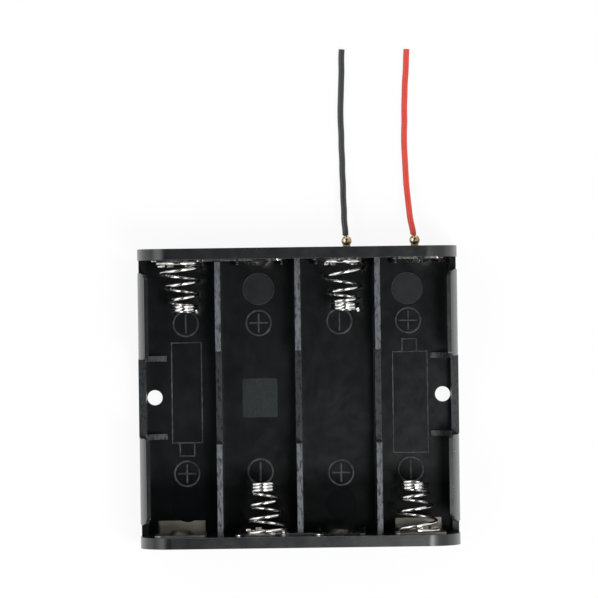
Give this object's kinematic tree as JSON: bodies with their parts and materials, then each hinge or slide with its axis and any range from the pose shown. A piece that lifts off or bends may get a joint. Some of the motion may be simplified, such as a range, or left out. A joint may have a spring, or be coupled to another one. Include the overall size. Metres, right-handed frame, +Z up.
{
  "type": "cylindrical cell holder",
  "caption": "Flat open holder for a row of cylindrical cells in series, with spring and cap contacts, snap side arms, screw holes and two short leads.",
  "frame": {"origin": "centre of the housing's underside", "axes": "+X across the bays, +Y along the bays towards the leads, +Z up, out of the open side"},
  "size_m": [0.0628, 0.0975, 0.0153],
  "materials": {
    "housing_plastic": "moulded, half gloss",
    "contact_metal": "nickel plated strip",
    "jumper_metal": "dull tinned strip",
    "spring_wire": "bright nickel plated wire",
    "strands": "tinned copper strands",
    "solder": "solder under amber flux",
    "black_insulation": "extruded, satin",
    "red_insulation": "extruded, satin"
  },
  "bodies": {
    "holder": {"housing": "housing_plastic", "link_plate_front": "contact_metal", "link_plate_rear": "contact_metal", "jumper_plate": "jumper_metal", "negative_terminal": "contact_metal", "positive_terminal": "contact_metal", "black_core": "strands", "red_core": "strands", "black_solder": "solder", "red_solder": "solder", "black_lead": "black_insulation", "red_lead": "red_insulation"},
    "spring_1_coil": {"spring_1": "spring_wire"},
    "spring_2_coil": {"spring_2": "spring_wire"},
    "spring_3_coil": {"spring_3": "spring_wire"},
    "spring_4_coil": {"spring_4": "spring_wire"}
  },
  "joints": [
    {"name": "spring_1_press", "type": "slide", "parent": "holder", "child": "spring_1_coil", "axis": [0, 1, 0], "range_m": [0, 0.008], "stiffness_N_per_m": 500, "deforming": ["spring_1"]},
    {"name": "spring_2_press", "type": "slide", "parent": "holder", "child": "spring_2_coil", "axis": [0, -1, 0], "range_m": [0, 0.008], "stiffness_N_per_m": 500, "deforming": ["spring_2"]},
    {"name": "spring_3_press", "type": "slide", "parent": "holder", "child": "spring_3_coil", "axis": [0, 1, 0], "range_m": [0, 0.008], "stiffness_N_per_m": 500, "deforming": ["spring_3"]},
    {"name": "spring_4_press", "type": "slide", "parent": "holder", "child": "spring_4_coil", "axis": [0, -1, 0], "range_m": [0, 0.008], "stiffness_N_per_m": 500, "deforming": ["spring_4"]}
  ]
}
